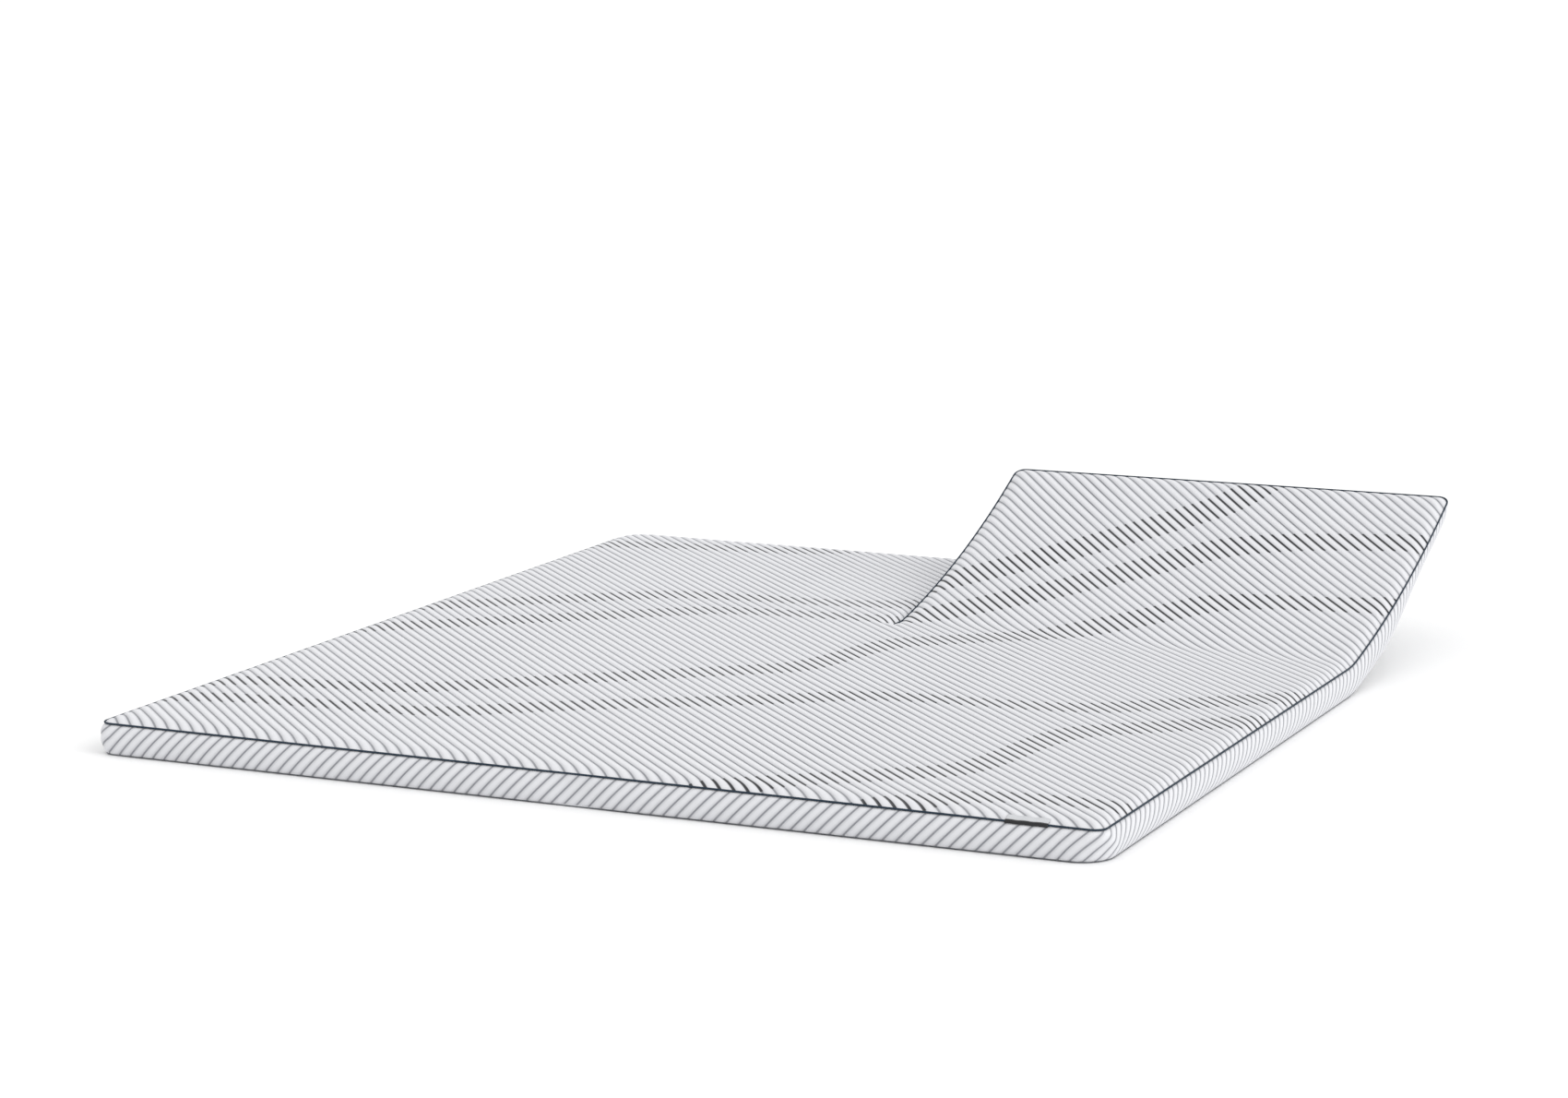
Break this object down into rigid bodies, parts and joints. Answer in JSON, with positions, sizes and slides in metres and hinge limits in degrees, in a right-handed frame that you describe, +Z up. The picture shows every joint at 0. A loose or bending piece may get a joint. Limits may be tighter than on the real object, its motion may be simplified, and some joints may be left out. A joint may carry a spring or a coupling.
{
  "type": "memory foam mattress",
  "caption": "Thin foam mattress in a quilted grey cover with corded edges and a woven tag; a slit from the head end lets each head half tilt on its own, and the leg end bends.",
  "frame": {"origin": "middle of the underside, on the surface the mattress lies on", "axes": "+X across the bed to the raised half, +Y from the foot end to the head end, +Z up"},
  "size_m": [1.816, 2.016, 0.2683],
  "materials": {
    "quilted_top": "knitted quilted top cloth with padded diagonal channels",
    "quilted_border": "the same quilted cloth on the border",
    "bottom_cloth": "plain woven base cloth",
    "piping_cloth": "slate blue woven cord",
    "memory_foam": "open-cell viscoelastic foam",
    "support_foam": "open-cell base foam",
    "label_satin": "satin woven label",
    "zip_tape_cloth": "woven zip tape",
    "zip_coil_plastic": "nylon coil",
    "zip_metal": "lacquered metal"
  },
  "bodies": {
    "seat": {"border_seat_left": "quilted_border", "border_seat_right": "quilted_border", "bottom_panel_seat": "bottom_cloth", "memory_foam_seat": "memory_foam", "piping_seat_left": "piping_cloth", "piping_seat_right": "piping_cloth", "support_foam_seat": "support_foam", "top_panel_seat": "quilted_top"},
    "thigh": {"border_thigh_left": "quilted_border", "border_thigh_right": "quilted_border", "bottom_panel_thigh": "bottom_cloth", "memory_foam_thigh": "memory_foam", "piping_thigh_left": "piping_cloth", "piping_thigh_right": "piping_cloth", "support_foam_thigh": "support_foam", "top_panel_thigh": "quilted_top"},
    "calf": {"border_calf": "quilted_border", "bottom_panel_calf": "bottom_cloth", "label": "label_satin", "memory_foam_calf": "memory_foam", "piping_calf": "piping_cloth", "support_foam_calf": "support_foam", "top_panel_calf": "quilted_top", "zip_coil": "zip_coil_plastic", "zip_tape": "zip_tape_cloth"},
    "back_left": {"border_back_left_left": "quilted_border", "border_back_left_right": "quilted_border", "bottom_panel_back_left": "bottom_cloth", "memory_foam_back_left": "memory_foam", "piping_back_left_left": "piping_cloth", "piping_back_left_right": "piping_cloth", "support_foam_back_left": "support_foam", "top_panel_back_left": "quilted_top"},
    "pillow_left": {"border_pillow_left_outer": "quilted_border", "border_pillow_left_slit": "quilted_border", "bottom_panel_pillow_left": "bottom_cloth", "memory_foam_pillow_left": "memory_foam", "piping_pillow_left": "piping_cloth", "support_foam_pillow_left": "support_foam", "top_panel_pillow_left": "quilted_top"},
    "back_right": {"border_back_right_left": "quilted_border", "border_back_right_right": "quilted_border", "bottom_panel_back_right": "bottom_cloth", "memory_foam_back_right": "memory_foam", "piping_back_right_left": "piping_cloth", "piping_back_right_right": "piping_cloth", "support_foam_back_right": "support_foam", "top_panel_back_right": "quilted_top"},
    "pillow_right": {"border_pillow_right_outer": "quilted_border", "border_pillow_right_slit": "quilted_border", "bottom_panel_pillow_right": "bottom_cloth", "memory_foam_pillow_right": "memory_foam", "piping_pillow_right": "piping_cloth", "support_foam_pillow_right": "support_foam", "top_panel_pillow_right": "quilted_top"},
    "zip_slider": {"zip_pull": "zip_metal", "zip_slider": "zip_metal"}
  },
  "joints": [
    {"name": "thigh_hinge", "type": "hinge", "parent": "seat", "child": "thigh", "pos_m": [0, -0.05, 0.06], "axis": [-1, 0, 0], "range_deg": [0, 25]},
    {"name": "knee_hinge", "type": "hinge", "parent": "thigh", "child": "calf", "pos_m": [0, -0.4, 0], "axis": [-1, 0, 0], "range_deg": [-37.5, 0]},
    {"name": "head_left_hinge", "type": "hinge", "parent": "seat", "child": "back_left", "pos_m": [0, 0.33, 0.06], "axis": [1, 0, 0], "range_deg": [0, 36]},
    {"name": "pillow_left_hinge", "type": "hinge", "parent": "back_left", "child": "pillow_left", "pos_m": [0, 0.665, 0.06], "axis": [1, 0, 0], "range_deg": [0, 21.6]},
    {"name": "head_right_hinge", "type": "hinge", "parent": "seat", "child": "back_right", "pos_m": [0, 0.33, 0.06], "axis": [1, 0, 0], "range_deg": [-14, 22]},
    {"name": "pillow_right_hinge", "type": "hinge", "parent": "back_right", "child": "pillow_right", "pos_m": [0, 0.65505, 0.14104], "axis": [1, 0, 0], "range_deg": [-8.4, 13.2]},
    {"name": "zip_slide", "type": "slide", "parent": "calf", "child": "zip_slider", "axis": [1, 0, 0], "range_m": [0, 1.66]}
  ],
  "couplings": [
    {"joint": "knee_hinge", "follows": "thigh_hinge", "ratio": -1.5},
    {"joint": "pillow_left_hinge", "follows": "head_left_hinge", "ratio": 0.6},
    {"joint": "pillow_right_hinge", "follows": "head_right_hinge", "ratio": 0.6}
  ]
}
